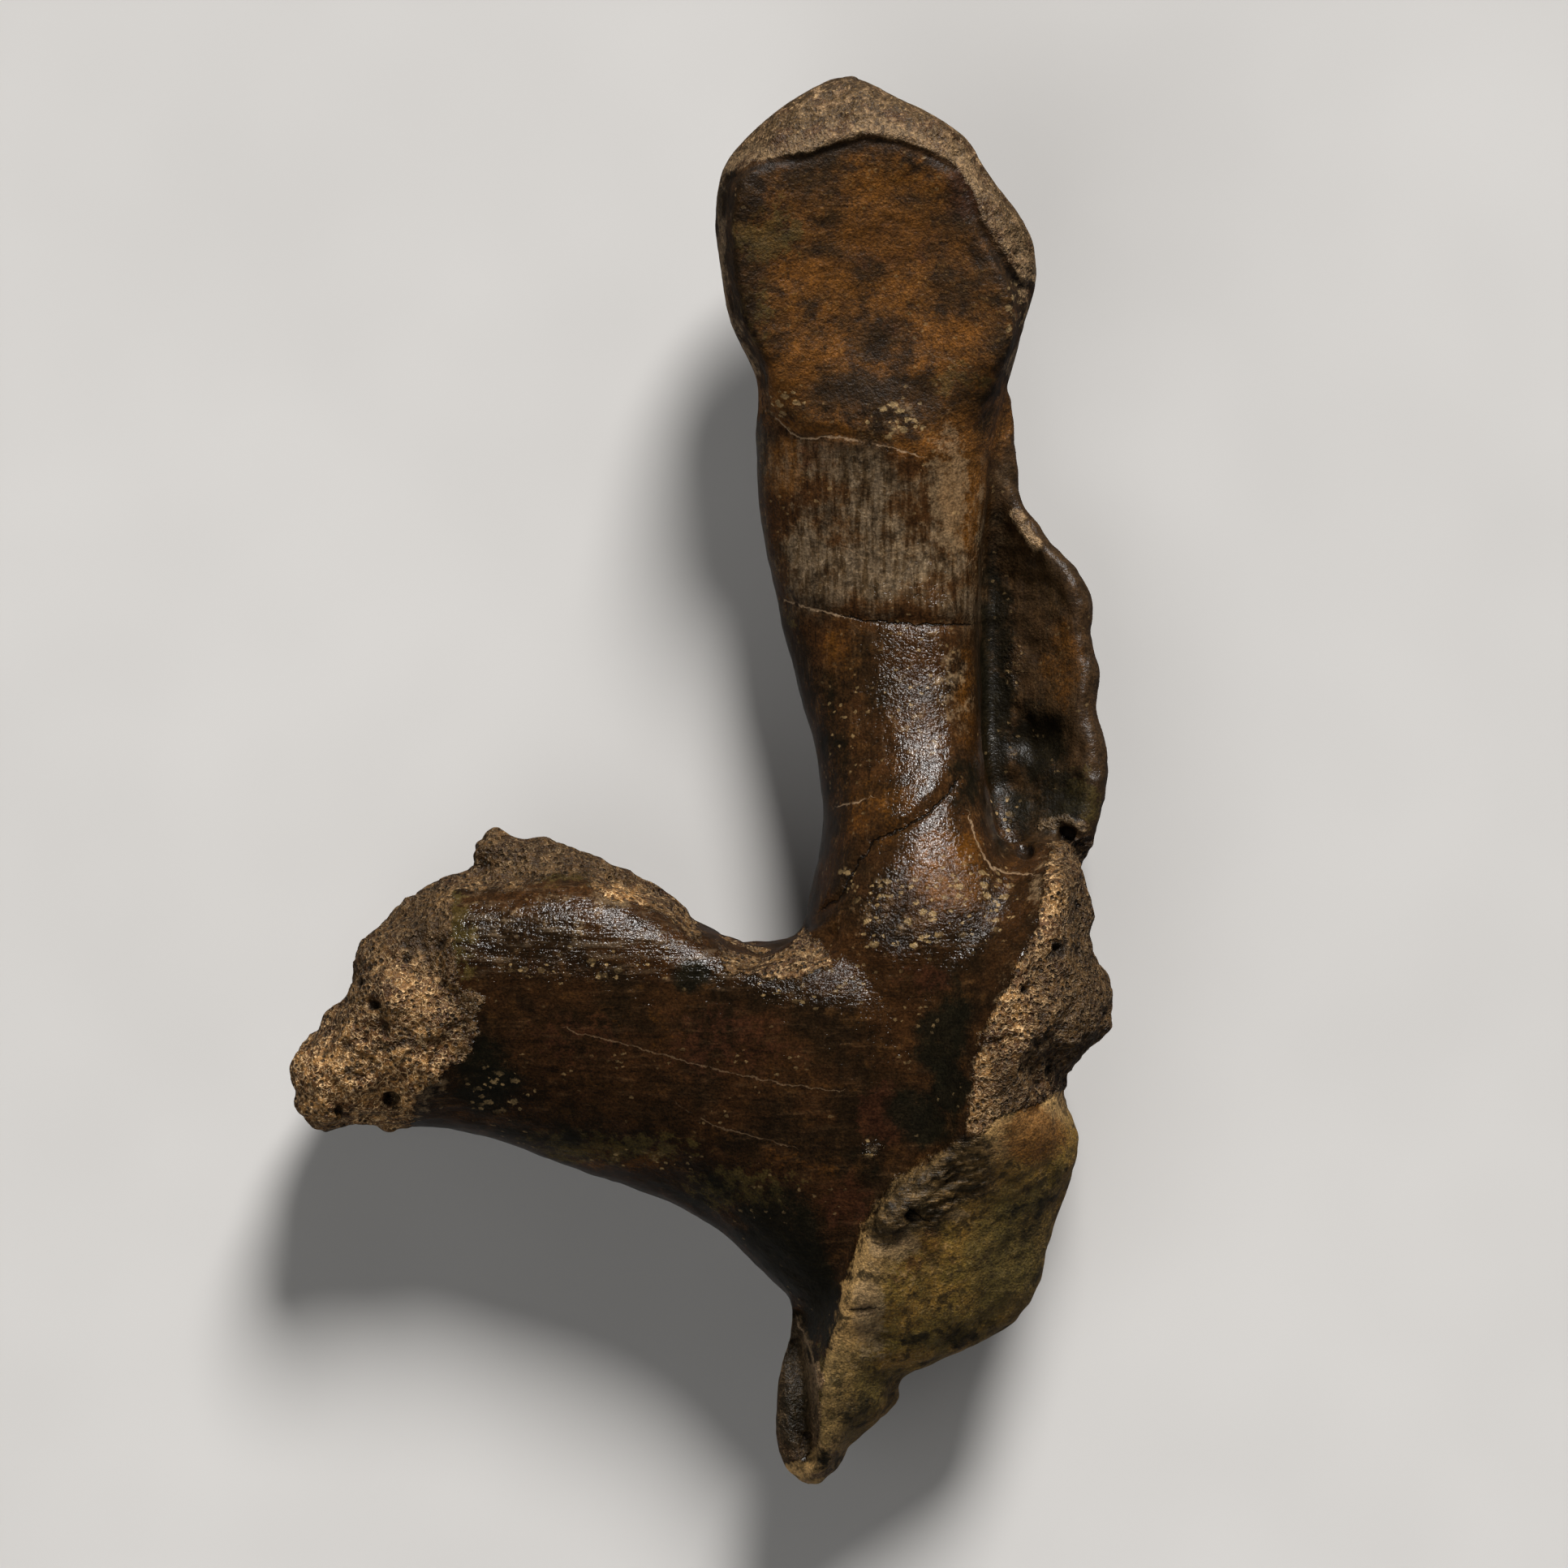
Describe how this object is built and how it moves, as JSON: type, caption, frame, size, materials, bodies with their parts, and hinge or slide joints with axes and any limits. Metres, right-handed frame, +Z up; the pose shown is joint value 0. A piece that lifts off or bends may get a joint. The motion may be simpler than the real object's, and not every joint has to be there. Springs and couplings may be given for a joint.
{
  "type": "fossil vertebra process",
  "caption": "Broken piece of a fossil hadrosaur neck vertebra: a long process with an oval joint face, a side arm and a thin wing, lying on its back.",
  "frame": {"origin": "under the middle of the bone's bounding box, on the surface that it rests on", "axes": "+Y along the long process towards its joint face, +X away from the side arm, +Z up out of the face that shows"},
  "size_m": [0.1166, 0.1998, 0.0469],
  "materials": {
    "fossil_bone": "satin"
  },
  "bodies": {
    "root": {"vertebra_process": "fossil_bone"}
  },
  "joints": []
}
